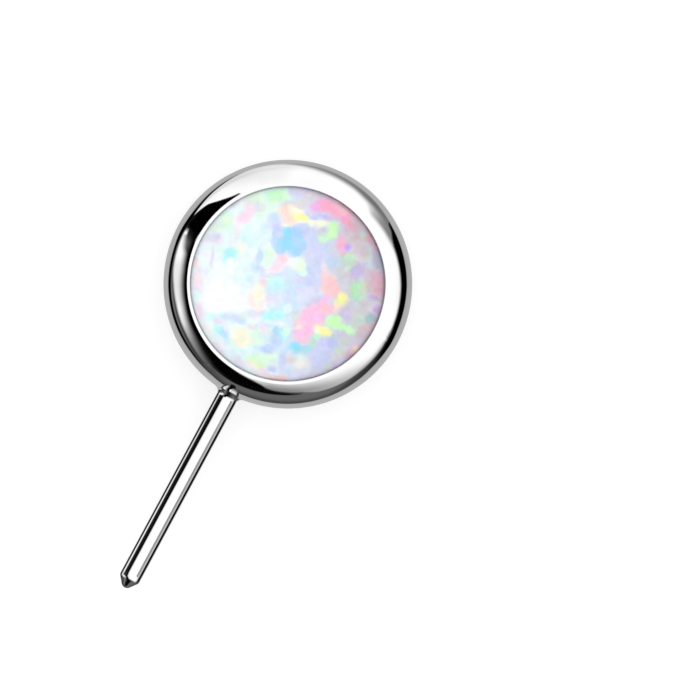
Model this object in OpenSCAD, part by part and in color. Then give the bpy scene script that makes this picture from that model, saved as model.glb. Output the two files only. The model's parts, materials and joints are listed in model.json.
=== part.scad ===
// A threadless piercing end: a round bezel cup that holds a domed opal, with a straight push-in pin
// welded to the side of the cup. It stands on its flat back with the stone facing up.
// Millimetres. The origin is the centre of the flat back, +Z points up through the top of the
// stone and +X points along the pin.

/* [Bezel] */
// Outer diameter of the bezel at its widest
bezel_d = 5.9; // [5.8:0.05:6.6]
// Height of the bezel from the flat back to the rim
bezel_h = 2.91; // [2.8:0.01:3.2]
// Radius of the wall's slight bulge, seen from the side
bulge_r = 4.8; // [4:0.1:8]
// Radius of the round shoulder between the wall and the rim
shoulder_r = 0.665; // [0.65:0.005:0.7]
// Depth of the shoulder arc's centre below the rim
shoulder_drop = 0.64; // [0.6:0.01:0.64]
// Radius of the round edge between the wall and the flat back
back_edge_r = 0.45; // [0.2:0.05:0.6]

/* [Stone] */
// Diameter of the stone at its girdle
stone_d = 5; // [4.8:0.05:5]
// Radius of the domed top
dome_r = 3; // [2.9:0.01:3.05]
// Rise of the dome above the rim
dome_rise = 0.97; // [0.94:0.01:1]
// Height of the whole stone
stone_h = 2.3; // [1.8:0.1:2.6]
// Width of the bevel round the flat base
base_bevel = 0.15; // [0.05:0.05:0.3]
// Gap between the stone and the metal
stone_gap = 0.02; // [0.01:0.005:0.03]
// Diameter of the opening at the rim, inside the lip
opening_d = 4.61; // [4.57:0.01:4.63]
// Width of the lip's inner bevel, which leans in to the stone
lip_bevel = 0.025; // [0.01:0.005:0.04]

/* [Pin] */
// Diameter of the pin, 24-gauge wire
pin_d = 0.51; // [0.4:0.01:0.6]
// Length of the pin from the wall to its tip
pin_l = 5.22; // [4:0.02:8]
// Height of the pin's axis and of the wall's widest line above the flat back
pin_h = 1.4; // [1.2:0.05:1.6]
// Length of the tapered tip
tip_l = 0.27; // [0.24:0.01:0.35]
// Radius of the round edge where the taper starts
edge_r = 0.1; // [0.05:0.01:0.12]
// Radius of the tip's round nose
nose_r = 0.14; // [0.08:0.01:0.15]
// Radius of the weld fillet round the pin's root
weld_r = 0.15; // [0.05:0.01:0.16]

/* [Hidden] */
$fn = 128;

bezel_r = bezel_d / 2;
stone_r = stone_d / 2;
opening_r = opening_d / 2;
lip_foot_r = opening_r - lip_bevel;
pin_r = pin_d / 2;

// How far the shapes that only cut run past what they cut
over = 1;

// The wall is an arc, widest at the height of the pin
bulge_c = [bezel_r - bulge_r, pin_h];

// The shoulder arc and the back edge's arc touch the wall's arc from inside
shoulder_z = bezel_h - shoulder_drop;
shoulder_c = [inner_arc_x(shoulder_z, shoulder_r), shoulder_z];
back_edge_c = [inner_arc_x(back_edge_r, back_edge_r), back_edge_r];
shoulder_touch = touch_point(shoulder_c);
back_touch = touch_point(back_edge_c);

// Heights of the stone
dome_top = bezel_h + dome_rise;
dome_z = dome_top - dome_r;
base_z = dome_top - stone_h;

// The weld's fillet starts inside the round wall, so that its foot is covered all round
weld_foot_r = pin_r + weld_r;
weld_cover = 0.01;
weld_sink = bezel_r - sqrt(pow(bezel_r, 2) - pow(weld_foot_r, 2)) + weld_cover;

// Distances along the pin from the middle of the bezel: the root inside the wall, the foot of the
// weld, the start of the taper, the centre of the round nose and the tip
root_depth = 0.3;
root_x = bezel_r - root_depth;
weld_x = bezel_r - weld_sink;
tip_x = bezel_r + pin_l;
taper_x = tip_x - tip_l;
nose_x = tip_x - nose_r;

// Points where the taper's straight side touches its round edge and the round nose
nose_c = [0, nose_x];
edge_c = [pin_r - edge_r, taper_x];
taper_v = edge_c - nose_c;
taper_angle = atan2(taper_v[1], taper_v[0]) + acos((nose_r - edge_r) / norm(taper_v));
edge_touch = edge_c + edge_r * [cos(taper_angle), sin(taper_angle)];
nose_touch = nose_c + nose_r * [cos(taper_angle), sin(taper_angle)];

// Distance from the bezel's axis of the centre of an arc of radius r at height z that touches
// the wall's arc from inside
function inner_arc_x(z, r) = bulge_c[0] + sqrt(pow(bulge_r - r, 2) - pow(z - bulge_c[1], 2));

// Point of the wall's arc that lies in line with the inner arc's centre c
function touch_point(c) = bulge_c + bulge_r * (c - bulge_c) / norm(c - bulge_c);

// Half section of the solid bezel, from its axis outwards
module bezel_section() {
    // Wall between the two touching points
    intersection() {
        translate(bulge_c)
            circle(r = bulge_r);
        translate([0, back_touch[1]])
            square([bezel_r + over, shoulder_touch[1] - back_touch[1]]);
    }
    // Shoulder and rim
    intersection() {
        union() {
            translate(shoulder_c)
                circle(r = shoulder_r);
            translate([0, pin_h])
                square([shoulder_c[0], bezel_h]);
        }
        translate([0, pin_h])
            square([bezel_r + over, bezel_h - pin_h]);
    }
    // Flat back and its round edge
    translate(back_edge_c)
        circle(r = back_edge_r);
    square([back_edge_c[0], pin_h]);
}

// Half section of the stone, grown by a gap on all sides, the 45 degree bevel's too
module stone_section(gap) {
    corner = gap * tan(22.5);
    intersection() {
        translate([0, dome_z])
            circle(r = dome_r + gap);
        polygon([
            [0, base_z - gap],
            [stone_r - base_bevel + corner, base_z - gap],
            [stone_r + gap, base_z + base_bevel - corner],
            [stone_r + gap, dome_top + over],
            [0, dome_top + over]
        ]);
    }
}

// Half section of the opening that the lip leaves above the stone
module opening_section() {
    polygon([
        [0, base_z],
        [lip_foot_r, base_z],
        [lip_foot_r, dome_height(lip_foot_r)],
        [opening_r, bezel_h],
        [opening_r, bezel_h + over],
        [0, bezel_h + over]
    ]);
}

// Height of the dome at a distance r from the axis
function dome_height(r) = dome_z + sqrt(pow(dome_r, 2) - pow(r, 2));

// Round cup with the pocket for the stone
module bezel_cup() {
    rotate_extrude()
        difference() {
            bezel_section();
            stone_section(stone_gap);
            opening_section();
        }
}

// Half section of the pin with its weld, along +Y from the root inside the wall to the tip
module pin_section() {
    difference() {
        polygon([
            [0, root_x],
            [weld_foot_r, root_x],
            [weld_foot_r, weld_x + weld_r],
            [pin_r, weld_x + weld_r],
            [pin_r, taper_x],
            edge_touch,
            nose_touch,
            [0, nose_touch[1]]
        ]);
        translate([weld_foot_r, weld_x + weld_r])
            circle(r = weld_r);
    }
    // Round edge at the start of the taper
    translate(edge_c)
        intersection() {
            circle(r = edge_r);
            square([pin_r, edge_touch[1] - edge_c[1]]);
        }
    // Round nose
    intersection() {
        translate(nose_c)
            circle(r = nose_r);
        translate([0, nose_touch[1]])
            square([pin_r, nose_r]);
    }
}

// Straight pin with a blunt, rounded tip, and the weld round its root
module push_pin() {
    translate([0, 0, pin_h])
        rotate([0, 90, 0])
            rotate_extrude()
                pin_section();
}

// Metalwork: the cup and the pin welded to it are one piece of metal
module setting() {
    color([0.78, 0.78, 0.8]) {
        bezel_cup();
        push_pin();
    }
}

// Domed stone, seated in the cup
module opal() {
    color([0.88, 0.9, 0.98])
        rotate_extrude()
            stone_section(0);
}

setting();
opal();
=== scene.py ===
"""A threadless piercing end: a polished bezel with a push-in pin at its side, holding a white opal.

The end stands on its flat back on a pale studio floor, seen from straight above the stone.
"""
import json
import math
from collections import namedtuple

import bpy
import numpy as np
from bpy.props import FloatProperty, FloatVectorProperty, IntProperty, PointerProperty
from mathutils import Matrix, Vector, noise


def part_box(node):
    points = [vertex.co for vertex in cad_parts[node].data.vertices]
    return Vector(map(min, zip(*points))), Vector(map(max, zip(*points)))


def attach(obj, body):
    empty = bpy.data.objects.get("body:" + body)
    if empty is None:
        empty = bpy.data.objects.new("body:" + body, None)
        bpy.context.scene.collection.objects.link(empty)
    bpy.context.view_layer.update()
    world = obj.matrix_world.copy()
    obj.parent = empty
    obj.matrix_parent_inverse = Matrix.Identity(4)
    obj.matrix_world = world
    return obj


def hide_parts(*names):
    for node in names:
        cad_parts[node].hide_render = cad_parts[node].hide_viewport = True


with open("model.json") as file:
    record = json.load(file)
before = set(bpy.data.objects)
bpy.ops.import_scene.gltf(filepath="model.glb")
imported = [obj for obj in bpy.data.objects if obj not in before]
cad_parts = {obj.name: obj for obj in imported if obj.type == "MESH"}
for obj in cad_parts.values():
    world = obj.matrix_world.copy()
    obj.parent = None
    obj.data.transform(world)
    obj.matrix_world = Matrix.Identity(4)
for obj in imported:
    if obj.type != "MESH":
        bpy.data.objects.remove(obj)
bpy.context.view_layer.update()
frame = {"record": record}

bl_info = {
    "name": "Threadless Piercing End",
    "version": (1, 0, 0),
    "blender": (4, 5, 0),
    "location": "View3D > Sidebar > Piercing End",
    "description": "Builds a side-pin piercing end with a bezel-set opal, and a stage for it",
    "category": "Add Mesh",
}

MM = 0.001
BODY = "root"

# Places that the frame gives
SETTING_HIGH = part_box("setting")[1]
OPAL_LOW, OPAL_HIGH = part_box("opal")
PIN_MOUNT = next(m for m in frame["record"]["mounts"] if m["name"] == "pin")
PIN_RADIUS = PIN_MOUNT["dims"]["r_mm"] * MM
PIN_STRAIGHT = PIN_MOUNT["dims"]["length_mm"] * MM
PIN_HEIGHT = PIN_MOUNT["pos_m"][2]
PIN_MIDDLE = PIN_MOUNT["pos_m"][0]


def placed(name, data):
    """A new object of that name, put into the scene."""
    made = bpy.data.objects.new(name, data)
    bpy.context.scene.collection.objects.link(made)
    return made


def linear(red, green, blue):
    """A colour given on the usual 0 to 255 screen scale, as the linear values that shaders take."""
    def straighten(value):
        level = value / 255
        return level / 12.92 if level <= 0.04045 else ((level + 0.055) / 1.055) ** 2.4
    return (straighten(red), straighten(green), straighten(blue))


# Sizes and finishes that a user would change

class BezelSizes(bpy.types.PropertyGroup):
    """Sizes of the round cup that holds the stone"""
    diameter: FloatProperty(
        name="Diameter", description="Outer diameter at the widest line",
        default=5.9 * MM, unit="LENGTH", precision=5)
    height: FloatProperty(
        name="Height", description="Height from the flat back to the rim",
        default=SETTING_HIGH.z, unit="LENGTH", precision=5)
    bulge_radius: FloatProperty(
        name="Wall bulge", description="Radius of the wall's slight bulge, seen from the side",
        default=4.8 * MM, unit="LENGTH", precision=5)
    shoulder_radius: FloatProperty(
        name="Shoulder", description="Radius of the round shoulder between the wall and the rim",
        default=0.665 * MM, unit="LENGTH", precision=6)
    shoulder_drop: FloatProperty(
        name="Shoulder drop", description="Depth of the shoulder arc's centre below the rim",
        default=0.64 * MM, unit="LENGTH", precision=6)
    back_edge_radius: FloatProperty(
        name="Back edge", description="Radius of the edge between the wall and the flat back",
        default=0.45 * MM, unit="LENGTH", precision=6)
    opening_radius: FloatProperty(
        name="Opening", description="Radius of the opening at the rim, inside the lip",
        default=2.305 * MM, unit="LENGTH", precision=6)
    lip_bevel: FloatProperty(
        name="Lip bevel", description="Width of the lip's inner bevel, which leans in to the stone",
        default=0.025 * MM, unit="LENGTH", precision=6)
    # The seam metal's brightness is painted shade: it darkens the fine seam between the lip and the
    # stone where a shadow line falls
    painted_seam_shade: FloatProperty(
        name="Seam shade", description="Brightness of the metal in the fine seam round the stone",
        default=0.58, subtype="FACTOR", min=0, max=1)
    edge_polish: FloatProperty(
        name="Edge polish", description="How far polishing has rounded the lip's two edges",
        default=0.012 * MM, unit="LENGTH", precision=6)
    segments: IntProperty(
        name="Segments", description="Faces round the cup, a multiple of four",
        default=320, min=160, max=640, step=4)


class PinSizes(bpy.types.PropertyGroup):
    """Sizes of the push-in pin and of the weld round its root"""
    radius: FloatProperty(
        name="Radius", description="Radius of the pin's wire",
        default=PIN_RADIUS, unit="LENGTH", precision=6)
    taper_length: FloatProperty(
        name="Taper", description="Length of the tapered tip",
        default=SETTING_HIGH.x - PIN_MIDDLE - PIN_STRAIGHT / 2, unit="LENGTH", precision=6)
    nose_radius: FloatProperty(
        name="Nose", description="Radius of the tip's round nose",
        default=0.14 * MM, unit="LENGTH", precision=6)
    edge_radius: FloatProperty(
        name="Taper edge", description="Radius of the round edge where the taper starts",
        default=0.1 * MM, unit="LENGTH", precision=6)
    weld_radius: FloatProperty(
        name="Weld", description="Radius of the weld fillet round the pin's root",
        default=0.15 * MM, unit="LENGTH", precision=6)
    patch_cells: IntProperty(
        name="Patch cells",
        description="Wall faces along each side of the patch round the weld, an even number",
        default=20, min=8, max=32, step=2)


class StoneSizes(bpy.types.PropertyGroup):
    """Sizes of the domed stone"""
    girdle_radius: FloatProperty(
        name="Girdle", description="Radius of the stone at its girdle",
        default=2.5 * MM, unit="LENGTH", precision=5)
    dome_radius: FloatProperty(
        name="Dome", description="Radius of the domed top",
        default=3.0 * MM, unit="LENGTH", precision=5)
    base_bevel: FloatProperty(
        name="Base bevel", description="Width of the bevel round the flat base",
        default=0.15 * MM, unit="LENGTH", precision=6)
    gap: FloatProperty(
        name="Gap", description="Gap between the stone and the metal",
        default=0.02 * MM, unit="LENGTH", precision=6)
    segments: IntProperty(
        name="Segments", description="Faces round the stone", default=512, min=64, max=640)
    rings: IntProperty(
        name="Rings", description="Faces from the girdle to the top of the dome",
        default=128, min=16, max=160)


class MetalFinish(bpy.types.PropertyGroup):
    """Finish of the polished titanium"""
    colour: FloatVectorProperty(
        name="Colour", description="Reflection colour of the polished metal",
        default=(0.83, 0.83, 0.84), subtype="COLOR", size=3, min=0, max=1)
    film_colour: FloatVectorProperty(
        name="Oxide film", description="Reflection colour where the thin oxide film is thicker",
        default=(0.79, 0.785, 0.785), subtype="COLOR", size=3, min=0, max=1)
    smoothest: FloatProperty(
        name="Smoothest", description="Roughness where the polish is best",
        default=0.02, subtype="FACTOR", min=0, max=1)
    dullest: FloatProperty(
        name="Dullest", description="Roughness along the polishing lines",
        default=0.055, subtype="FACTOR", min=0, max=1)
    line_depth: FloatProperty(
        name="Line depth", description="Depth of the fine polishing lines",
        default=0.00002 * MM, unit="LENGTH", precision=9)


class OpalFinish(bpy.types.PropertyGroup):
    """Finish of the white opal"""
    # The two side colours paint light and shade into the stone's body: lighter on the lit side,
    # greyer on the shaded side
    painted_lit_side: FloatVectorProperty(
        name="Bright side", description="Body colour of the stone's brighter half",
        default=linear(240, 251, 254), subtype="COLOR", size=3, min=0, max=1)
    painted_shaded_side: FloatVectorProperty(
        name="Grey side", description="Body colour of the stone's greyer half",
        default=linear(214, 209, 213), subtype="COLOR", size=3, min=0, max=1)
    flake_strength: FloatProperty(
        name="Flake strength", description="How strongly the flakes colour the stone",
        default=1.0, subtype="FACTOR", min=0, max=1)
    glow: FloatProperty(
        name="Glow", description="How far light scatters inside the stone",
        default=0.06 * MM, unit="LENGTH", precision=6)


class StageSettings(bpy.types.PropertyGroup):
    """Floor, light and camera"""
    floor_colour: FloatVectorProperty(
        name="Floor", description="Colour of the plain floor",
        default=(0.4, 0.4, 0.4), subtype="COLOR", size=3, min=0, max=1)
    floor_glow: FloatProperty(
        name="Floor glow", description="Light that the floor gives off, as a light table does",
        default=0.65, min=0, max=2)
    fill_light: FloatProperty(
        name="Fill light", description="Brightness of the soft light from all round",
        default=0.82, min=0, max=5)
    top_light: FloatProperty(
        name="Top light", description="Strength of the broad light straight above",
        default=0.95, min=0, max=20)
    lens: FloatProperty(
        name="Lens", description="Focal length of the camera in millimetres",
        default=600.0, min=35, max=1000)
    view_width: FloatProperty(
        name="View width", description="Width of the picture at the height of the pin",
        default=16.6 * MM, unit="LENGTH", precision=5)


GROUPS = {
    "piercing_bezel": BezelSizes,
    "piercing_pin": PinSizes,
    "piercing_stone": StoneSizes,
    "piercing_metal": MetalFinish,
    "piercing_opal": OpalFinish,
    "piercing_stage": StageSettings,
}


# Outlines, as lists of points in a half section

# Points closer than this are one point
SAME_PLACE = 0.000001 * MM


def arc(centre, radius, start, end, steps):
    """Points along an arc from one angle to another, both ends included, in degrees."""
    angles = [math.radians(start + (end - start) * i / steps) for i in range(steps + 1)]
    return [(centre[0] + radius * math.cos(a), centre[1] + radius * math.sin(a)) for a in angles]


def line(start, end, steps):
    """Points along a straight line, both ends included."""
    return [
        tuple(a + (b - a) * i / steps for a, b in zip(start, end))
        for i in range(steps + 1)
    ]


def soft_corner(before, corner, after, steps=6):
    """Points of a rounded corner: a curve from one point to another that heads for the corner."""
    points = []
    for i in range(steps + 1):
        t = i / steps
        weights = ((1 - t) ** 2, 2 * t * (1 - t), t * t)
        points.append(tuple(
            weights[0] * b + weights[1] * c + weights[2] * a
            for b, c, a in zip(before, corner, after)))
    return points


def towards(start, end, distance):
    """The point that lies a distance from start on the way to end."""
    share = distance / math.dist(start, end)
    return tuple(a + (b - a) * share for a, b in zip(start, end))


def circle(distance, height, segments):
    """Points of a level circle round the Z axis."""
    step = 2 * math.pi / segments
    return [
        (distance * math.cos(step * i), distance * math.sin(step * i), height)
        for i in range(segments)
    ]


def joined(*stretches):
    """One outline from several stretches, without the points that two neighbours share."""
    points = []
    for stretch in stretches:
        for p in stretch:
            if not points or math.dist(points[-1], p) > SAME_PLACE:
                points.append(p)
    return points


class MeshDraft:
    """Points and faces of one piece while it is being put together."""

    def __init__(self):
        self.points = []
        self.faces = []
        self.finishes = []

    def ring(self, points):
        """Adds a ring of points and returns their numbers."""
        start = len(self.points)
        self.points.extend(points)
        return list(range(start, len(self.points)))

    def band(self, ring, other, finish=0, skip=()):
        """Joins two closed rings with four-sided faces, leaving out the columns in skip."""
        count = len(ring)
        for i in range(count):
            if i in skip:
                continue
            j = (i + 1) % count
            self.faces.append((ring[i], ring[j], other[j], other[i]))
            self.finishes.append(finish)

    def cap(self, ring, point, finish=0, outward=True):
        """Closes a ring with a fan of faces to a point."""
        middle = self.ring([point])[0]
        count = len(ring)
        for i in range(count):
            j = (i + 1) % count
            face = (ring[i], ring[j], middle) if outward else (ring[j], ring[i], middle)
            self.faces.append(face)
            self.finishes.append(finish)

    def finish(self, name, materials, sharp_angle=30):
        """The finished object, smooth apart from its sharp edges, riding on the part's body."""
        used = sorted({corner for face in self.faces for corner in face})
        number = {old: new for new, old in enumerate(used)}
        mesh = bpy.data.meshes.new(name)
        mesh.from_pydata(
            [self.points[i] for i in used], [],
            [tuple(number[corner] for corner in face) for face in self.faces])
        for material in materials:
            mesh.materials.append(material)
        mesh.polygons.foreach_set("material_index", self.finishes)
        mesh.validate()
        mesh.shade_smooth()
        mesh.set_sharp_from_angle(angle=math.radians(sharp_angle))
        piece = placed(name, mesh)
        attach(piece, BODY)
        return piece


# The setting

# Places of the three finishes in the setting's list of materials; the third is metal darkened as
# painted shade in the seam round the stone
TURNED, DRAWN, SEAM = range(3)
# How far below the rim the painted shade in the seam round the stone reaches, in widths of the lip's
# bevel
SEAM_REACH = 8
# Length of the first faces after the weld, which keep the weld's shading off the straight pin
PIN_START = 0.01 * MM
# Angle off the pin's line at which the nose's last small faces start, in degrees
NOSE_END_ANGLE = 8
# How far the weld's curve keeps the direction of the wall and of the pin, as a share of its size
WELD_PULL = 0.55


class WallShape:
    """The bulged wall of the cup and the two arcs that touch it from inside."""

    def __init__(self, bezel):
        self.radius = bezel.diameter / 2
        self.bulge = bezel.bulge_radius
        self.centre = (self.radius - self.bulge, PIN_HEIGHT)
        self.shoulder = self.inner_centre(bezel.height - bezel.shoulder_drop, bezel.shoulder_radius)
        self.back_edge = self.inner_centre(bezel.back_edge_radius, bezel.back_edge_radius)

    def inner_centre(self, height, radius):
        """Centre of an arc at a height that touches the wall's arc from inside."""
        reach = (self.bulge - radius) ** 2 - (height - self.centre[1]) ** 2
        return (self.centre[0] + math.sqrt(reach), height)

    def touch_angle(self, inner):
        """Angle of the wall's arc, in degrees, where the arc with that centre touches it."""
        return math.degrees(math.atan2(inner[1] - self.centre[1], inner[0] - self.centre[0]))

    def at_height(self, height):
        """Distance of the wall from the cup's axis at a height."""
        return self.centre[0] + math.sqrt(self.bulge ** 2 - (height - self.centre[1]) ** 2)

    def angle_at_height(self, height):
        """Angle of the wall's arc, in degrees, at a height."""
        return math.degrees(math.asin((height - self.centre[1]) / self.bulge))

    def point(self, across, height):
        """Point of the wall on the pin's side, a distance across the pin's line."""
        reach = self.at_height(height)
        return (math.sqrt(reach ** 2 - across ** 2), across, height)

    def lean(self, across, height, direction):
        """How fast the wall falls away from the pin in a direction (across, up) at a place."""
        step = 0.001 * MM
        ahead = self.point(across + step * direction[0], height + step * direction[1])
        return (ahead[0] - self.point(across, height)[0]) / step


def dome_height(stone, distance, gap=0.0):
    """Height of the dome, grown by a gap, at a distance from the stone's axis."""
    centre = OPAL_HIGH.z - stone.dome_radius
    return centre + math.sqrt((stone.dome_radius + gap) ** 2 - distance ** 2)


def seat_outline(bezel, stone):
    """Half section of the pocket, from under the lip to the middle of its floor."""
    gap = stone.gap
    centre_height = OPAL_HIGH.z - stone.dome_radius
    grown = stone.dome_radius + gap
    foot = bezel.opening_radius - bezel.lip_bevel
    rim_point = (bezel.opening_radius, bezel.height)
    foot_point = (foot, dome_height(stone, foot))
    # Where the lip's bevel meets the sphere of its underside, found by halving the stretch
    low, high = foot_point, rim_point
    halvings = 40
    for _ in range(halvings):
        middle = tuple((a + b) / 2 for a, b in zip(low, high))
        inside = math.dist(middle, (0, centre_height)) < grown
        low, high = (middle, high) if inside else (low, middle)
    lip_edge = high
    wall = stone.girdle_radius + gap
    angle_lip = math.degrees(math.atan2(lip_edge[1] - centre_height, lip_edge[0]))
    angle_wall = math.degrees(math.acos(wall / grown))
    floor = OPAL_LOW.z - gap
    # The corners of the 45 degree bevel move this far along when the gap is added
    corner = gap * math.tan(math.radians(45 / 2))
    bevel_top = (wall, OPAL_LOW.z + stone.base_bevel - corner)
    bevel_low = (stone.girdle_radius - stone.base_bevel + corner, floor)
    return joined(
        [lip_edge],
        arc((0, centre_height), grown, angle_lip, angle_wall, steps=8),
        line((wall, dome_height(stone, wall, gap)), bevel_top, steps=6),
        line(bevel_top, bevel_low, steps=2),
        line(bevel_low, (bevel_low[0] / 3, floor), steps=3),
    )


def rim_outline(bezel, wall, lip_edge):
    """Half section from the wall's top, over the shoulder and the lip, to the stone."""
    polish = bezel.edge_polish
    full = math.degrees(math.asin(bezel.shoulder_drop / bezel.shoulder_radius))
    start = wall.touch_angle(wall.shoulder)
    end = full - math.degrees(polish / bezel.shoulder_radius)
    shoulder = arc(wall.shoulder, bezel.shoulder_radius, start, end, steps=44)
    # The shoulder's last direction meets the plane of the rim at the rounded edge's corner
    slope = math.radians(end + 90)
    rise = (bezel.height - shoulder[-1][1]) / math.sin(slope)
    corner = (shoulder[-1][0] + rise * math.cos(slope), bezel.height)
    lip_start = (corner[0] - rise, bezel.height)
    inner_corner = (bezel.opening_radius, bezel.height)
    lip_end = (bezel.opening_radius + polish, bezel.height)
    bevel_start = towards(inner_corner, lip_edge, polish)
    return joined(
        shoulder,
        soft_corner(shoulder[-1], corner, lip_start),
        line(lip_start, lip_end, steps=4),
        soft_corner(lip_end, inner_corner, bevel_start),
        [lip_edge],
    )


def is_seam(bezel, start, end):
    """Whether a stretch of the outline lies in the seam between the lip and the stone."""
    foot = bezel.opening_radius - bezel.lip_bevel
    under_lip = foot - bezel.lip_bevel < end[0] and start[0] <= bezel.opening_radius
    return under_lip and start[1] > SETTING_HIGH.z - SEAM_REACH * bezel.lip_bevel


def pin_outline(pin, weld_end):
    """Half section of the pin from the end of its weld to its nose, as (distance out, radius)."""
    tip = SETTING_HIGH.x
    nose = (tip - pin.nose_radius, 0)
    edge = (tip - pin.taper_length, pin.radius - pin.edge_radius)
    # The taper's straight side touches its round edge and the round nose
    turn = math.acos((pin.nose_radius - pin.edge_radius) / math.dist(nose, edge))
    angle = math.degrees(math.atan2(edge[1] - nose[1], edge[0] - nose[0]) - turn)
    edge_arc = arc(edge, pin.edge_radius, 90, angle, steps=10)
    nose_arc = arc(nose, pin.nose_radius, angle, NOSE_END_ANGLE, steps=10)
    return joined(
        [(weld_end, pin.radius)],
        line((weld_end + PIN_START, pin.radius), edge_arc[0], steps=40),
        edge_arc,
        line(edge_arc[-1], nose_arc[0], steps=4),
        nose_arc,
    )


def build_cup(draft, bezel, stone, pin):
    """Adds the cup with a square hole in its wall, and returns the hole's border, point by point."""
    wall = WallShape(bezel)
    segments, cells = bezel.segments, pin.patch_cells
    half = cells // 2
    patch_reach = wall.radius * math.sin(2 * math.pi / segments * half)
    low_angle = wall.touch_angle(wall.back_edge)
    high_angle = wall.touch_angle(wall.shoulder)
    patch_low = wall.angle_at_height(PIN_HEIGHT - patch_reach)
    patch_high = wall.angle_at_height(PIN_HEIGHT + patch_reach)
    seat = seat_outline(bezel, stone)
    below = joined(
        line((wall.back_edge[0] / 4, 0), (wall.back_edge[0], 0), steps=4),
        arc(wall.back_edge, bezel.back_edge_radius, -90, low_angle, steps=24),
        arc(wall.centre, wall.bulge, low_angle, patch_low, steps=10),
    )
    beside = arc(wall.centre, wall.bulge, patch_low, patch_high, steps=cells)
    above = joined(
        arc(wall.centre, wall.bulge, patch_high, high_angle, steps=10),
        rim_outline(bezel, wall, seat[0]),
        seat,
    )
    outline = joined(below, beside, above)
    first = len(below) - 1
    rings = [draft.ring(circle(distance, height, segments)) for distance, height in outline]
    hidden = {(i - half) % segments for i in range(cells)}
    for row, (ring, other) in enumerate(zip(rings, rings[1:])):
        # Faces in the seam round the stone take the metal darkened as painted shade
        seam = is_seam(bezel, outline[row], outline[row + 1])
        draft.band(
            ring, other, finish=SEAM if seam else TURNED,
            skip=hidden if first <= row < first + cells else ())
    draft.cap(rings[0], (0, 0, 0), outward=False)
    draft.cap(rings[-1], (0, 0, outline[-1][1]))
    # Border of the hole, anticlockwise as the pin's tip sees it, from the lower corner on -Y
    columns = [(i - half) % segments for i in range(cells + 1)]
    rows = rings[first:first + cells + 1]
    border = [rows[0][c] for c in columns[:-1]]
    border += [row[columns[-1]] for row in rows[:-1]]
    border += [rows[-1][c] for c in reversed(columns[1:])]
    border += [row[columns[0]] for row in reversed(rows[1:])]
    return wall, border


def build_pin(draft, pin, wall, border):
    """Adds the patch of wall round the weld, the weld and the pin, all joined to the border."""
    count = len(border)
    # The border starts at its lower corner on the -Y side, so its angles start at -135 degrees
    turns = [math.radians(-135 + 360 * i / count) for i in range(count)]
    directions = [(math.cos(a), math.sin(a)) for a in turns]
    foot = pin.radius + pin.weld_radius
    outer = [draft.points[i] for i in border]
    ring = border
    patch_rings = 8
    for step in range(1, patch_rings + 1):
        share = step / patch_rings
        places = []
        for (_, across, height), (cos, sin) in zip(outer, directions):
            places.append(wall.point(
                across + (foot * cos - across) * share,
                height + (PIN_HEIGHT + foot * sin - height) * share))
        new = draft.ring(places)
        draft.band(ring, new)
        ring = new
    # The weld leaves the wall along its surface and meets the pin along its side
    weld_end = PIN_MIDDLE - PIN_STRAIGHT / 2
    feet = [draft.points[i] for i in ring]
    weld_rings = 10
    for step in range(1, weld_rings + 1):
        t = step / weld_rings
        weights = ((1 - t) ** 3, 3 * t * (1 - t) ** 2, 3 * t * t * (1 - t), t ** 3)
        places = []
        for (out, across, height), (cos, sin) in zip(feet, directions):
            lean = wall.lean(across, height, (-cos, -sin))
            rise = weld_end - out
            pull = WELD_PULL * pin.weld_radius
            radii = (foot, foot - pull, pin.radius, pin.radius)
            outs = (out, out + lean * pull, weld_end - WELD_PULL * rise, weld_end)
            radius = sum(w * r for w, r in zip(weights, radii))
            reach = sum(w * o for w, o in zip(weights, outs))
            places.append((reach, radius * cos, PIN_HEIGHT + radius * sin))
        new = draft.ring(places)
        draft.band(ring, new)
        ring = new
    for distance, radius in pin_outline(pin, weld_end)[1:]:
        new = draft.ring([
            (distance, radius * cos, PIN_HEIGHT + radius * sin) for cos, sin in directions])
        draft.band(ring, new, finish=DRAWN)
        ring = new
    draft.cap(ring, (SETTING_HIGH.x, 0, PIN_HEIGHT), finish=DRAWN)


# The stone

# Angle of the dome's arc at which its last small faces start, in degrees
DOME_END_ANGLE = 89.6


def build_stone(draft, stone):
    """Adds the closed stone: flat base, bevel, girdle and dome."""
    centre = (0, OPAL_HIGH.z - stone.dome_radius)
    girdle = stone.girdle_radius
    start = math.degrees(math.acos(girdle / stone.dome_radius))
    bevel_low = (girdle - stone.base_bevel, OPAL_LOW.z)
    bevel_top = (girdle, OPAL_LOW.z + stone.base_bevel)
    outline = joined(
        line((bevel_low[0] / 4, OPAL_LOW.z), bevel_low, steps=3),
        line(bevel_low, bevel_top, steps=2),
        line(bevel_top, (girdle, dome_height(stone, girdle)), steps=6),
        arc(centre, stone.dome_radius, start, DOME_END_ANGLE, steps=stone.rings),
    )
    rings = [draft.ring(circle(distance, height, stone.segments)) for distance, height in outline]
    draft.cap(rings[0], (0, 0, OPAL_LOW.z), outward=False)
    for ring, other in zip(rings, rings[1:]):
        draft.band(ring, other)
    draft.cap(rings[-1], (0, 0, OPAL_HIGH.z))


# Help with shader nodes

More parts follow.
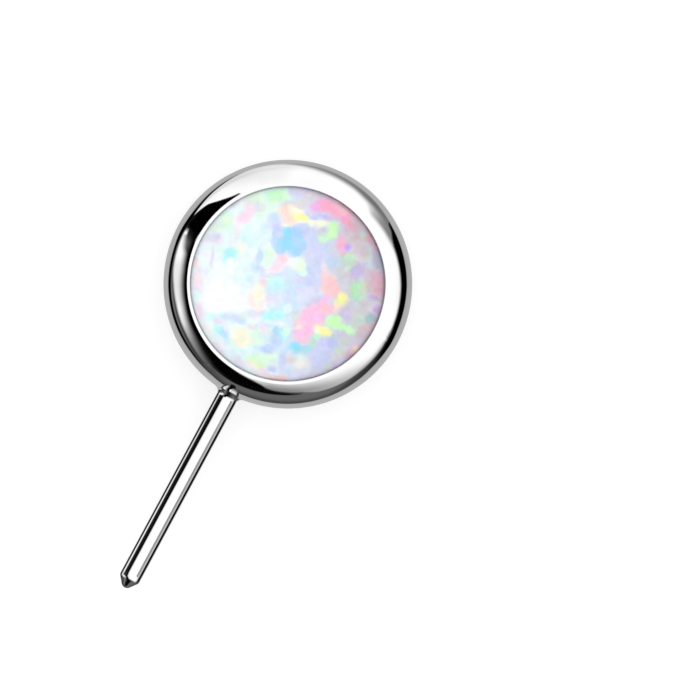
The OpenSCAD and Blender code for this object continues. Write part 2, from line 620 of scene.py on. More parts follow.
class Shader:
    """Short ways to add nodes to a material or world."""

    def __init__(self, owner):
        owner.use_nodes = True
        self.tree = owner.node_tree
        self.tree.nodes.clear()

    def node(self, kind, inputs=None, **settings):
        """A node with its settings, and its inputs given by name or number."""
        made = self.tree.nodes.new(kind)
        for key, value in settings.items():
            setattr(made, key, value)
        for key, value in (inputs or {}).items():
            socket = made.inputs[key]
            if isinstance(value, bpy.types.NodeSocket):
                self.tree.links.new(value, socket)
            else:
                socket.default_value = value
        return made

    def math(self, operation, *values):
        """Result of a sum on numbers."""
        made = self.node("ShaderNodeMath", dict(enumerate(values)), operation=operation)
        return made.outputs[0]

    def vector(self, operation, *values):
        """Result of a sum on vectors, or the number that it gives."""
        made = self.node("ShaderNodeVectorMath", dict(enumerate(values)), operation=operation)
        single = operation in ("DOT_PRODUCT", "LENGTH", "DISTANCE")
        return made.outputs["Value" if single else "Vector"]

    def spread(self, value, low, high, to_low=0.0, to_high=1.0, smooth=True):
        """A value mapped from one stretch to another, held at the ends."""
        made = self.node(
            "ShaderNodeMapRange",
            {"Value": value, "From Min": low, "From Max": high,
             "To Min": to_low, "To Max": to_high},
            interpolation_type="SMOOTHSTEP" if smooth else "LINEAR")
        return made.outputs["Result"]

    def noise(self, vector, scale, detail=2.0, colour=False):
        """Soft noise as a number, or as three numbers."""
        made = self.node(
            "ShaderNodeTexNoise", {"Vector": vector, "Scale": scale, "Detail": detail})
        return made.outputs["Color" if colour else "Fac"]

    def mix(self, share, first, second, blend="MIX"):
        """Mixture of two colours."""
        made = self.node("ShaderNodeMix", data_type="RGBA", blend_type=blend)
        # The colour sockets of this node are numbers 6 and 7, after those of its other types
        for key, value in ((0, share), (6, first), (7, second)):
            socket = made.inputs[key]
            if isinstance(value, bpy.types.NodeSocket):
                self.tree.links.new(value, socket)
            elif key == 0:
                socket.default_value = value
            else:
                socket.default_value = (*value[:3], 1.0)
        return made.outputs[2]

    def output(self, kind, shader):
        """Links the last shader to the output."""
        self.node(kind, {"Surface": shader})


# The metal

# Spots per metre of the noise that makes the fine polishing lines, and of the broad patches
LINE_FINENESS = 60000.0
PATCH_FINENESS = 900.0
# The way along a line as that noise sees it, so short that a line hardly changes: metres for each
# radian round the cup, and the share of the way along the pin
TURNED_WAY = 0.0006
DRAWN_WAY = 0.03
# Levels of that noise between which the roughness and the oxide film rise, and the lines' strength
ROUGHNESS_LEVELS = (0.12, 0.42)
FILM_LEVELS = (0.35, 0.75)
LINE_STRENGTH = 0.6


def metal_material(name, finish, lines_run):
    """Mirror-polished titanium with fine polishing lines.

    lines_run is TURNED for lines that circle the cup's axis and DRAWN for lines along the pin.
    """
    material = bpy.data.materials.new(name)
    shader = Shader(material)
    place = shader.node("ShaderNodeTexCoord").outputs["Object"]
    axes = shader.node("ShaderNodeSeparateXYZ", {"Vector": place})
    x, y, z = axes.outputs
    if lines_run == TURNED:
        distance = shader.math("SQRT", shader.math(
            "ADD", shader.math("MULTIPLY", x, x), shader.math("MULTIPLY", y, y)))
        angle = shader.math("ARCTAN2", y, x)
        slow = shader.math("MULTIPLY", angle, TURNED_WAY)
        lines = shader.node("ShaderNodeCombineXYZ", {0: distance, 1: slow, 2: z}).outputs[0]
    else:
        slow = shader.math("MULTIPLY", x, DRAWN_WAY)
        lines = shader.node("ShaderNodeCombineXYZ", {0: slow, 1: y, 2: z}).outputs[0]
    fine = shader.noise(lines, LINE_FINENESS, detail=3.0)
    broad = shader.noise(place, PATCH_FINENESS)
    roughness = shader.spread(
        shader.math("MULTIPLY", fine, broad), *ROUGHNESS_LEVELS, finish.smoothest, finish.dullest)
    colour = shader.mix(
        shader.spread(broad, *FILM_LEVELS), tuple(finish.colour), tuple(finish.film_colour))
    bump = shader.node("ShaderNodeBump", {
        "Strength": LINE_STRENGTH, "Distance": finish.line_depth, "Height": fine})
    surface = shader.node("ShaderNodeBsdfPrincipled", {
        "Base Color": colour,
        "Metallic": 1.0,
        "Roughness": roughness,
        "Normal": bump.outputs["Normal"],
    })
    shader.output("ShaderNodeOutputMaterial", surface.outputs[0])
    return material


def painted_seam_shade_material(shade):
    """Rough metal in the fine seam that no polishing wheel reaches, its colour darkened as painted
    shade for the shadow line between the lip and the stone.
    """
    material = bpy.data.materials.new("seam_titanium")
    shader = Shader(material)
    # The seam's darker base colour is painted shade, not a colour of the metal
    surface = shader.node("ShaderNodeBsdfPrincipled", {
        "Base Color": (shade, shade, shade, 1.0),
        "Metallic": 1.0,
        "Roughness": 0.5,
    })
    shader.output("ShaderNodeOutputMaterial", surface.outputs[0])
    return material


# The opal

# Colours of the opal's flakes, as seen in daylight
FLAKE_COLOURS = {
    "white": linear(253, 254, 255),
    "pale cyan": linear(226, 250, 253),
    "aqua": linear(188, 248, 250),
    "sky": linear(160, 214, 250),
    "bright sky": linear(140, 224, 254),
    "pale blue": linear(211, 232, 249),
    "blue": linear(196, 217, 248),
    "violet blue": linear(192, 198, 243),
    "lavender": linear(208, 213, 245),
    "pale lavender": linear(232, 227, 246),
    "lilac": linear(214, 202, 227),
    "violet": linear(208, 180, 246),
    "purple": linear(194, 176, 220),
    "orchid": linear(243, 188, 240),
    "pink": linear(254, 198, 230),
    "pale pink": linear(251, 228, 241),
    "rose": linear(255, 174, 202),
    "dusty rose": linear(226, 178, 196),
    "salmon": linear(255, 206, 208),
    "blush": linear(255, 243, 238),
    "peach": linear(255, 228, 208),
    "cream": linear(253, 250, 229),
    "lemon": linear(253, 253, 160),
    "lime": linear(207, 255, 190),
    "mint": linear(198, 251, 204),
    "pale mint": linear(228, 253, 230),
    "mint green": linear(184, 236, 188),
    "sage": linear(198, 228, 202),
    "sea green": linear(160, 204, 202),
    "teal": linear(166, 222, 236),
    "mauve": linear(214, 192, 203),
    "grey": linear(209, 211, 212),
    "grey blue": linear(180, 184, 208),
    "beige": linear(230, 215, 212),
}

Flake = namedtuple("Flake", "across up half_length half_width turn colour strength")

# The opal's flakes, charted one by one. Each has its place across and up from the stone's middle as
# the picture shows it, its half length and half width (all in mm), its turn in degrees, its
# colour, and how strongly it covers what lies under it
FLAKES = (
    # Broad pale areas; the white ones on the left and the grey ones on the right also paint light
    # and shade across the stone
    (-1.45, -0.32, 0.62, 0.42, 0, "white", 1.0),
    (-1.40, 0.10, 0.55, 0.30, 0, "white", 0.6),
    (-0.80, 1.20, 0.42, 0.34, 0, "pale cyan", 0.5),
    (-0.95, 0.10, 0.30, 0.40, 0, "pale cyan", 0.5),
    (-0.15, -0.35, 0.45, 0.38, 0, "pale blue", 0.7),
    (-0.40, -0.38, 0.24, 0.14, 0, "pale lavender", 0.7),
    (0.04, -0.12, 0.12, 0.42, 0, "blue", 0.45),
    (-0.35, -1.30, 0.48, 0.52, 0, "pale blue", 0.6),
    (-0.95, -1.55, 0.50, 0.28, -25, "pale cyan", 0.7),
    (0.65, 0.55, 0.30, 0.78, 0, "lavender", 0.6),
    (0.38, 0.00, 0.26, 0.34, 0, "lavender", 0.5),
    (0.48, -0.26, 0.26, 0.16, 0, "pale lavender", 0.6),
    (0.30, -2.02, 0.50, 0.16, 6, "pale lavender", 0.6),
    (0.80, -1.68, 0.24, 0.42, -20, "lavender", 0.9),
    (1.66, 1.22, 0.36, 0.32, -50, "mauve", 0.8),
    (1.50, 0.86, 0.26, 0.34, 0, "beige", 0.4),
    (1.92, 0.82, 0.16, 0.20, 0, "grey", 0.8),
    (2.14, 0.56, 0.12, 0.30, 12, "grey blue", 0.8),
    (1.40, 0.22, 0.26, 0.24, 0, "grey", 0.6),
    (1.55, -0.66, 0.44, 0.24, 0, "grey", 0.8),
    (1.38, -1.28, 0.40, 0.20, 0, "grey", 0.7),
    (1.88, -1.04, 0.20, 0.34, -26, "mauve", 0.7),
    (1.60, -1.42, 0.22, 0.16, 45, "lilac", 0.7),
    (1.20, -1.88, 0.34, 0.13, 32, "lilac", 0.5),
    (0.62, -2.16, 0.30, 0.09, 16, "mauve", 0.4),
    # Along the rim; the mauve and dusty rose ones on the right also paint the shade that falls on
    # the rim there
    (0.36, 2.17, 0.34, 0.10, -8, "lilac", 0.6),
    (0.86, 2.08, 0.26, 0.08, -22, "mauve", 0.7),
    (1.42, 1.76, 0.28, 0.12, -40, "dusty rose", 0.8),
    (1.76, 1.42, 0.24, 0.08, -52, "mauve", 0.8),
    (2.00, 1.02, 0.30, 0.09, -64, "dusty rose", 0.8),
    (2.14, -0.02, 0.18, 0.32, 0, "dusty rose", 0.9),
    (1.94, -0.04, 0.14, 0.26, 0, "mauve", 0.7),
    (-2.12, 0.12, 0.13, 0.34, 0, "pale pink", 0.8),
    (-2.16, 0.52, 0.06, 0.12, 0, "salmon", 0.4),
    (-2.17, -0.26, 0.09, 0.14, 0, "pale cyan", 0.9),
    (-2.08, -0.64, 0.09, 0.18, 15, "pale pink", 0.9),
    (-1.62, -1.52, 0.24, 0.07, -44, "pale lavender", 0.6),
    # Upper left
    (-0.26, 2.09, 0.34, 0.16, 0, "mint", 0.9),
    (-0.44, 2.07, 0.14, 0.10, 0, "mint", 0.6),
    (-0.02, 2.10, 0.12, 0.14, 0, "pale mint", 0.7),
    (-0.70, 2.04, 0.24, 0.12, 8, "pale mint", 1.0),
    (-0.38, 1.82, 0.20, 0.16, 20, "pale mint", 0.8),
    (-0.66, 1.80, 0.13, 0.14, 0, "grey", 0.5),
    (-0.90, 1.88, 0.14, 0.10, 20, "beige", 0.5),
    (-0.88, 1.70, 0.14, 0.12, 20, "pale pink", 1.0),
    (-1.04, 1.56, 0.20, 0.15, 25, "pale pink", 1.0),
    (-1.02, 1.56, 0.09, 0.08, 25, "pink", 0.14),
    (-1.17, 1.28, 0.06, 0.22, 0, "pale pink", 0.55),
    (-0.64, 1.59, 0.14, 0.07, -8, "pale mint", 1.0),
    (-0.66, 1.60, 0.07, 0.04, 0, "lime", 0.3),
    (-1.42, 1.48, 0.16, 0.20, 10, "pale mint", 0.9),
    (-1.70, 1.34, 0.14, 0.11, 35, "pale mint", 0.8),
    (-1.76, 1.09, 0.22, 0.11, 14, "pale lavender", 1.0),
    (-1.66, 1.16, 0.10, 0.06, 20, "lavender", 0.35),
    (-1.26, 1.90, 0.14, 0.08, 30, "pale lavender", 0.8),
    (-0.98, 1.14, 0.10, 0.14, 0, "pale cyan", 0.9),
    (-0.52, 1.34, 0.12, 0.16, 0, "pale blue", 0.6),
    (-1.35, 0.73, 0.17, 0.13, 0, "aqua", 1.0),
    (-1.46, 0.60, 0.09, 0.11, 0, "aqua", 0.8),
    (-1.21, 0.63, 0.07, 0.12, -10, "aqua", 0.8),
    (-1.33, 0.53, 0.12, 0.09, 0, "white", 0.9),
    (-1.10, 0.78, 0.11, 0.22, 0, "cream", 0.5),
    (-1.78, 0.62, 0.05, 0.26, -4, "pale lavender", 0.9),
    (-1.92, 0.30, 0.06, 0.14, 0, "pale lavender", 0.5),
    (-0.66, 0.64, 0.07, 0.25, -4, "blue", 0.75),
    (-0.76, 0.36, 0.08, 0.18, 12, "pale blue", 0.9),
    (-0.60, 0.28, 0.13, 0.09, -30, "lavender", 0.7),
    (-0.84, 0.08, 0.10, 0.09, 0, "pale blue", 0.7),
    (-0.40, 0.68, 0.14, 0.24, -14, "pale mint", 1.0),
    (-0.50, 0.42, 0.08, 0.10, 0, "pale mint", 0.8),
    (-0.12, 0.52, 0.16, 0.20, -35, "pale pink", 1.0),
    (-0.10, 0.60, 0.09, 0.08, -20, "salmon", 0.6),
    (-0.30, 0.34, 0.18, 0.10, 25, "pale pink", 1.0),
    (-0.26, 0.36, 0.10, 0.06, 25, "pink", 0.3),
    (-0.36, 0.17, 0.26, 0.05, 4, "lilac", 0.45),
    (-0.56, 0.02, 0.11, 0.08, 0, "salmon", 0.6),
    (-0.27, 0.02, 0.17, 0.13, -10, "aqua", 0.65),
    (-0.06, 0.22, 0.14, 0.12, 0, "pale blue", 0.8),
    # Blue and warm flakes near the top
    (-0.25, 1.22, 0.12, 0.34, 6, "lavender", 1.0),
    (-0.28, 1.02, 0.12, 0.20, 6, "blue", 0.8),
    (-0.18, 1.36, 0.07, 0.12, 0, "violet", 0.35),
    (-0.34, 1.56, 0.14, 0.10, 0, "blue", 0.5),
    (0.14, 0.98, 0.29, 0.30, 0, "sky", 0.85),
    (0.10, 1.24, 0.24, 0.13, -4, "sky", 0.7),
    (-0.12, 0.88, 0.18, 0.16, -30, "sky", 0.75),
    (-0.02, 1.16, 0.10, 0.20, 0, "bright sky", 0.8),
    (-0.06, 0.90, 0.12, 0.10, 0, "bright sky", 0.5),
    (0.24, 0.76, 0.10, 0.12, 20, "sky", 0.7),
    (0.30, 1.06, 0.12, 0.16, 0, "blue", 0.35),
    (0.40, 1.26, 0.16, 0.10, 0, "violet blue", 0.5),
    (0.02, 1.70, 0.22, 0.18, 0, "peach", 0.9),
    (-0.06, 1.74, 0.09, 0.10, 0, "salmon", 0.35),
    (0.00, 1.88, 0.15, 0.06, 0, "grey", 0.5),
    (0.02, 1.43, 0.13, 0.10, 0, "peach", 0.8),
    (0.01, 1.37, 0.10, 0.05, 0, "cream", 0.9),
    (0.22, 1.70, 0.18, 0.10, -8, "cream", 0.8),
    (0.18, 1.52, 0.18, 0.09, 0, "peach", 0.9),
    (0.30, 1.54, 0.19, 0.08, -14, "lemon", 0.9),
    (0.44, 1.52, 0.11, 0.06, -10, "lemon", 0.8),
    (0.40, 1.43, 0.22, 0.04, 0, "cream", 0.7),
    (0.30, 1.87, 0.16, 0.11, 0, "beige", 0.8),
    (0.16, 2.12, 0.14, 0.12, 0, "lavender", 0.6),
    (0.50, 2.06, 0.16, 0.10, 0, "beige", 0.7),
    # Upper right
    (0.78, 1.82, 0.22, 0.18, -10, "rose", 0.75),
    (1.02, 1.79, 0.30, 0.17, -22, "rose", 0.95),
    (1.28, 1.60, 0.20, 0.16, -45, "rose", 0.9),
    (1.44, 1.42, 0.16, 0.12, -50, "rose", 0.7),
    (1.30, 1.72, 0.16, 0.09, -35, "salmon", 0.6),
    (1.58, 1.36, 0.15, 0.10, -50, "dusty rose", 0.7),
    (0.68, 1.79, 0.09, 0.15, 0, "orchid", 0.7),
    (0.73, 1.54, 0.18, 0.08, 0, "violet blue", 0.7),
    (0.92, 1.53, 0.12, 0.07, -10, "violet", 0.4),
    (1.10, 1.50, 0.12, 0.05, -10, "lilac", 0.9),
    (0.60, 1.42, 0.10, 0.07, 0, "cream", 0.8),
    (0.80, 1.40, 0.20, 0.09, -4, "cream", 1.0),
    (0.90, 1.40, 0.12, 0.06, 0, "lime", 0.35),
    (0.80, 1.24, 0.13, 0.06, 0, "grey", 0.8),
    (1.08, 1.30, 0.13, 0.16, 0, "lime", 1.0),
    (1.02, 1.14, 0.12, 0.09, 20, "lime", 0.9),
    (0.86, 1.08, 0.13, 0.08, 14, "lime", 0.8),
    (1.28, 1.20, 0.10, 0.15, 0, "mauve", 0.6),
    (1.26, 1.05, 0.09, 0.10, 0, "pink", 0.7),
    (1.24, 0.92, 0.11, 0.15, 0, "rose", 0.75),
    (1.30, 0.80, 0.07, 0.07, 0, "orchid", 1.0),
    (1.26, 0.70, 0.06, 0.07, 0, "rose", 0.4),
    (1.42, 0.88, 0.09, 0.08, 0, "violet", 1.0),
    (1.76, 1.16, 0.11, 0.09, 0, "sage", 0.6),
    (1.60, 1.06, 0.12, 0.08, 0, "mauve", 0.7),
    (1.74, 0.74, 0.14, 0.12, 0, "mauve", 0.6),
    (1.08, 0.52, 0.20, 0.12, 0, "teal", 0.35),
    (1.34, 0.58, 0.14, 0.12, 0, "sage", 0.8),
    (1.46, 0.54, 0.13, 0.20, 0, "sage", 0.8),
    (1.42, 0.62, 0.10, 0.08, 0, "mint", 0.45),
    (1.40, 0.36, 0.10, 0.05, 20, "pale mint", 0.4),
    (0.27, 0.44, 0.15, 0.19, 0, "pale mint", 1.0),
    (0.14, 0.52, 0.12, 0.10, 20, "white", 0.5),
    (0.34, 0.26, 0.10, 0.08, -50, "pale mint", 0.8),
    (0.88, 0.32, 0.08, 0.20, 6, "pale pink", 0.9),
    (0.90, 0.18, 0.10, 0.16, 6, "salmon", 0.7),
    (1.08, 0.12, 0.13, 0.10, -30, "peach", 0.8),
    (1.66, 0.29, 0.19, 0.14, 14, "purple", 0.75),
    (1.60, 0.24, 0.10, 0.07, -20, "violet", 0.25),
    (1.92, 0.46, 0.11, 0.07, 0, "teal", 0.4),
    (1.94, 0.28, 0.12, 0.08, 0, "mauve", 0.7),
    # Lower right
    (1.00, -0.08, 0.19, 0.26, 0, "salmon", 0.95),
    (1.14, -0.14, 0.14, 0.16, 0, "salmon", 0.8),
    (0.92, -0.36, 0.14, 0.08, 10, "orchid", 0.6),
    (0.62, -0.44, 0.16, 0.08, 20, "lilac", 0.5),
    (1.30, -0.32, 0.11, 0.14, -18, "lemon", 1.0),
    (1.18, -0.44, 0.10, 0.08, 35, "lemon", 0.7),
    (1.13, -0.56, 0.12, 0.10, 60, "peach", 0.9),
    (1.68, -0.16, 0.21, 0.26, 0, "mint green", 0.95),
    (1.80, -0.18, 0.08, 0.20, 0, "beige", 0.6),
    (0.86, -0.56, 0.22, 0.16, 30, "pink", 0.95),
    (0.57, -0.77, 0.30, 0.25, 20, "pink", 1.0),
    (0.41, -1.00, 0.26, 0.22, 50, "pink", 0.9),
    (0.34, -1.22, 0.20, 0.17, 40, "pink", 0.9),
    (0.52, -0.84, 0.14, 0.12, 0, "orchid", 0.25),
    (0.94, -0.60, 0.14, 0.15, 0, "salmon", 0.8),
    (0.76, -0.96, 0.12, 0.09, 30, "salmon", 0.6),
    (0.18, -0.82, 0.09, 0.20, 0, "beige", 0.4),
    (0.27, -1.02, 0.08, 0.07, 0, "cream", 0.5),
    (0.40, -1.38, 0.12, 0.07, 0, "salmon", 0.7),
    (1.08, -0.88, 0.18, 0.16, 0, "lime", 1.0),
    (1.30, -1.02, 0.22, 0.08, -8, "lime", 1.0),
    (1.50, -1.10, 0.12, 0.06, -14, "lime", 0.8),
    (0.82, -1.11, 0.18, 0.12, -12, "lemon", 1.0),
    (0.98, -1.18, 0.10, 0.06, 0, "lemon", 0.6),
    (0.68, -1.11, 0.08, 0.07, 30, "cream", 0.6),
    (0.66, -1.26, 0.12, 0.09, 35, "mint", 0.8),
    (0.58, -1.42, 0.08, 0.11, -20, "sage", 0.7),
    (0.15, -1.50, 0.16, 0.10, -6, "bright sky", 0.8),
    (0.28, -1.58, 0.13, 0.06, -10, "teal", 0.9),
    (0.48, -1.56, 0.14, 0.07, 10, "teal", 0.7),
    (0.28, -1.74, 0.18, 0.07, 0, "pale mint", 0.5),
    (0.10, -1.76, 0.12, 0.08, -10, "beige", 0.7),
    (0.34, -1.88, 0.20, 0.09, 0, "cream", 0.5),
    (1.06, -1.38, 0.14, 0.13, 0, "violet blue", 0.8),
    (0.86, -1.32, 0.08, 0.10, 0, "lavender", 0.7),
    (1.34, -0.60, 0.12, 0.09, 0, "lilac", 0.8),
    (1.42, -0.78, 0.13, 0.09, 0, "lilac", 0.9),
    (1.68, -0.84, 0.16, 0.14, 0, "sage", 0.6),
    (1.80, -0.50, 0.12, 0.10, 0, "mauve", 0.6),
    (2.04, -0.34, 0.12, 0.07, 0, "purple", 0.9),
    (2.07, -0.60, 0.13, 0.10, 30, "orchid", 0.6),
    (2.08, -0.60, 0.09, 0.09, 0, "purple", 0.75),
    (1.95, -0.81, 0.11, 0.09, 0, "sea green", 0.9),
    (1.56, -1.52, 0.11, 0.14, -40, "salmon", 0.6),
    (1.58, -1.50, 0.07, 0.07, 0, "peach", 0.6),
    (1.42, -1.64, 0.08, 0.12, -30, "dusty rose", 0.6),
    (1.24, -1.56, 0.10, 0.08, 0, "sage", 0.7),
    (1.16, -1.70, 0.12, 0.06, 20, "beige", 0.6),
    (0.94, -1.98, 0.14, 0.08, 24, "sage", 0.4),
    (-0.02, -2.05, 0.14, 0.10, 0, "pale blue", 0.6),
    # Lower left
    (-0.78, -0.36, 0.20, 0.24, 0, "blush", 1.0),
    (-0.68, -0.22, 0.14, 0.20, 0, "cream", 1.0),
    (-0.62, -0.50, 0.13, 0.11, 0, "blush", 0.9),
    (-0.84, -0.70, 0.16, 0.09, 0, "pale lavender", 0.8),
    (-0.62, -0.70, 0.10, 0.07, 0, "lilac", 0.3),
    (-1.76, -0.79, 0.14, 0.09, 0, "aqua", 0.5),
    (-1.50, -0.76, 0.11, 0.09, 0, "aqua", 0.6),
    (-1.26, -0.82, 0.24, 0.12, -6, "blue", 0.55),
    (-1.10, -0.92, 0.12, 0.07, -20, "pale blue", 0.9),
    (-1.62, -0.94, 0.11, 0.08, 0, "pale lavender", 0.9),
    (-1.62, -1.10, 0.13, 0.09, -30, "aqua", 0.8),
    (-1.50, -1.20, 0.13, 0.10, -40, "sky", 0.5),
    (-1.40, -1.34, 0.08, 0.09, 0, "aqua", 0.5),
    (-1.84, -1.10, 0.12, 0.08, -40, "cream", 0.5),
    (-1.10, -1.27, 0.22, 0.23, 0, "cream", 1.0),
    (-0.98, -1.38, 0.14, 0.14, 0, "cream", 0.9),
    (-1.06, -1.32, 0.15, 0.15, 0, "lemon", 0.08),
    (-0.84, -1.02, 0.12, 0.08, 0, "beige", 0.5),
    (-0.70, -1.28, 0.14, 0.20, 0, "pale mint", 0.75),
    (-0.56, -1.07, 0.10, 0.09, 0, "pale pink", 0.7),
    (-0.42, -1.12, 0.08, 0.10, 0, "pale mint", 0.6),
    (-0.66, -1.80, 0.34, 0.14, -8, "pale mint", 1.0),
    (-0.38, -1.68, 0.16, 0.10, 0, "pale mint", 0.9),
    (-0.74, -1.84, 0.22, 0.09, -18, "lime", 0.25),
    (-0.70, -1.88, 0.20, 0.05, -22, "lemon", 0.35),
    (-0.88, -1.92, 0.20, 0.05, -28, "blush", 1.0),
    (-0.58, -2.06, 0.16, 0.05, -18, "pale pink", 0.9),
    (-1.16, -1.84, 0.20, 0.09, -38, "pale lavender", 0.9),
    (-0.48, -1.56, 0.17, 0.10, 0, "blue", 0.9),
    (-0.70, -1.52, 0.10, 0.06, 0, "pale blue", 0.8),
    (-0.12, -1.80, 0.10, 0.20, 0, "lavender", 0.8),
    (-0.34, -1.97, 0.11, 0.07, 0, "lavender", 1.0),
    (-0.26, -2.20, 0.26, 0.08, -4, "salmon", 0.8),
    (-0.10, -2.16, 0.10, 0.05, 0, "peach", 0.6),
    (-0.46, -0.75, 0.15, 0.10, 10, "aqua", 0.9),
    (-0.20, -0.74, 0.20, 0.10, -6, "aqua", 1.0),
    (-0.18, -0.76, 0.09, 0.05, 0, "bright sky", 0.35),
    (0.02, -0.80, 0.09, 0.13, 0, "pale blue", 0.9),
    (0.02, -0.58, 0.10, 0.12, 0, "pale cyan", 0.8),
    (-0.42, -0.91, 0.20, 0.06, 6, "pale cyan", 0.9),
    (-0.14, -0.93, 0.11, 0.06, -20, "white", 0.6),
    (-0.01, -1.10, 0.06, 0.14, 0, "pale mint", 0.9),
    (-0.20, -1.08, 0.12, 0.11, 0, "bright sky", 0.45),
    (-0.12, -1.24, 0.09, 0.13, 16, "aqua", 0.9),
    (-0.28, -1.30, 0.13, 0.18, 0, "blue", 0.8),
    (-0.26, -1.12, 0.07, 0.10, 0, "sky", 0.4),
)

# Body colour halfway between the stone's painted lit side and its painted shaded side
PAINTED_HALF_SHADE_COLOUR = linear(214, 222, 243)
# Where across the stone, in mm, its painted shading turns the body from lit to half shade and from
# half shade to shade, and the tints of its large and of its small cells from the lit to the shaded
# palette
TURN_TO_HALF_SHADE = (-0.75, 0.35)
TURN_TO_PAINTED_SHADE = (0.8, 1.9)
LARGE_TINTS_TURN = (-0.2, 0.8)
SMALL_TINTS_TURN = (0.2, 1.4)
# Tints of the cells that the whole stone is made of, on its painted lit side and on its painted
# shaded side
LIT_SIDE_TINTS = ("white", "pale cyan", "white", "pale blue", "pale mint", "cream", "pale pink",
                "pale cyan", "pale lavender")
SHADED_SIDE_TINTS = ("lavender", "lilac", "pale lavender", "grey", "mauve", "beige", "violet blue",
              "pale blue", "sage")
TINT_STRENGTH = 0.16
# Cells per millimetre: large and small tinted ones, and those that the flakes' borders follow, with
# how far a border is drawn to them
LARGE_CELLS = 3.2
SMALL_CELLS = 7.5
BORDER_CELLS = 6.5
BORDER_PULL = 0.28
# How far the colours of two cells run into each other, as a share of a cell's width
CELL_BLEND = 0.8
# The plane of the cell noise that the stone shows, and what spreads the cells' numbers
CELL_PLANE = 0.5
CELL_SPREAD = 37.3
# Soft noise that moves the flakes' borders: spots per millimetre and reach in millimetres
BORDER_DRIFTS = ((1.6, 0.05), (4.5, 0.04))
# Softness of a flake's edge in millimetres, and its most as a share of the flake's half width
EDGE_SOFTNESS = 0.07
MOST_SOFTNESS = 0.6
# Seed of the soft noise that the flakes' borders follow, so that each run gives the same stone
NOISE_SEED = 38


def smooth_step(values, low, high):
    """Values from one stretch mapped to 0 to 1 with a soft start and end, held beyond them."""
    share = np.clip((values - low) / (high - low), 0, 1)
    return share * share * (3 - 2 * share)


def chart_places(points):
    """Places of points on the flakes' chart, in millimetres."""
    turn = math.radians(PICTURE_TURN)
    across = (points[:, 0] * math.cos(turn) + points[:, 1] * math.sin(turn)) / MM
    up = (points[:, 1] * math.cos(turn) - points[:, 0] * math.sin(turn)) / MM
    return np.stack((across, up), axis=1)


def wandered(places, spots_per_mm, reach):
    """Places moved about by soft noise."""
    moved = places.copy()
    for i, (x, y) in enumerate(places):
        drift = noise.noise_vector((x * spots_per_mm, y * spots_per_mm, spots_per_mm))
        moved[i] += (drift.x * reach, drift.y * reach)
    return moved


def gathered(places, cells_per_mm, share):
    """Places drawn towards the middles of small cells, so that borders follow the cells."""
    moved = places.copy()
    for i, (x, y) in enumerate(places):
        middle = noise.voronoi((x * cells_per_mm, y * cells_per_mm, CELL_PLANE))[1][0]
        moved[i] += ((middle.x / cells_per_mm - x) * share, (middle.y / cells_per_mm - y) * share)
    return moved


def cell_tints(places, cells_per_mm, names):
    """A colour for each place, the same within a small cell and blended at its borders."""
    palette = np.array([FLAKE_COLOURS[name] for name in names])
    picks = np.empty((len(places), 2), dtype=int)
    blend = np.empty(len(places))
    for i, (x, y) in enumerate(places):
        distances, middles = noise.voronoi((x * cells_per_mm, y * cells_per_mm, CELL_PLANE))
        for j in range(2):
            picks[i, j] = int(noise.cell(middles[j] * CELL_SPREAD) * len(names)) % len(names)
        blend[i] = 0.5 - min(0.5, (distances[1] - distances[0]) / CELL_BLEND)
    blend = blend[:, None]
    return palette[picks[:, 0]] * (1 - blend) + palette[picks[:, 1]] * blend


def lay(colours, new, share):
    """Colours with new ones laid over them by a share."""
    return colours * (1 - share) + np.asarray(new) * share


def turning_tints(places, cells_per_mm, stretch):
    """Tints of the stone's cells, which turn from the lit to the shaded palette over a stretch
    across it, as painted shading.
    """
    left = cell_tints(places, cells_per_mm, LIT_SIDE_TINTS)
    right = cell_tints(places, cells_per_mm, SHADED_SIDE_TINTS)
    return lay(left, right, smooth_step(places[:, 0], *stretch)[:, None])


def flake_share(places, flake):
    """How far a flake covers each place, from 0 to the flake's strength."""
    angle = math.radians(flake.turn)
    dx, dy = places[:, 0] - flake.across, places[:, 1] - flake.up
    along = (dx * math.cos(angle) + dy * math.sin(angle)) / flake.half_length
    aside = (dy * math.cos(angle) - dx * math.sin(angle)) / flake.half_width
    soft = min(MOST_SOFTNESS, EDGE_SOFTNESS / min(flake.half_length, flake.half_width))
    return smooth_step(np.hypot(along, aside), 1 + soft, 1 - soft) * flake.strength


def paint_flakes(mesh, finish):
    """Stores the stone's colours on its points: the flakes over a body colour with painted light and
    shade across it.
    """
    noise.seed_set(NOISE_SEED)
    count = len(mesh.vertices)
    points = np.empty(count * 3)
    mesh.vertices.foreach_get("co", points)
    loose = chart_places(points.reshape(-1, 3))
    for spots_per_mm, reach in BORDER_DRIFTS:
        loose = wandered(loose, spots_per_mm, reach)
    across = loose[:, 0]
    tint_share = TINT_STRENGTH * finish.flake_strength
    # Body colour painted lighter on one side and greyer on the other, as light and shade across the
    # dome
    colours = np.array([finish.painted_lit_side])
    colours = lay(colours, PAINTED_HALF_SHADE_COLOUR, smooth_step(across, *TURN_TO_HALF_SHADE)[:, None])
    colours = lay(colours, finish.painted_shaded_side, smooth_step(across, *TURN_TO_PAINTED_SHADE)[:, None])
    colours = lay(colours, turning_tints(loose, LARGE_CELLS, LARGE_TINTS_TURN), tint_share)
    charted = gathered(loose, BORDER_CELLS, BORDER_PULL)
    for flake in (Flake(*row) for row in FLAKES):
        share = flake_share(charted, flake) * finish.flake_strength
        colours = lay(colours, FLAKE_COLOURS[flake.colour], share[:, None])
    # Small cells tinted from the lit to the shaded palette, part of the same painted shading
    tints = turning_tints(loose, SMALL_CELLS, SMALL_TINTS_TURN)
    colours = lay(colours, colours * tints, 2 * tint_share)
    layer = mesh.color_attributes.new("flakes", "FLOAT_COLOR", "POINT")
    layer.data.foreach_set("color", np.column_stack((colours, np.ones(count))).ravel())


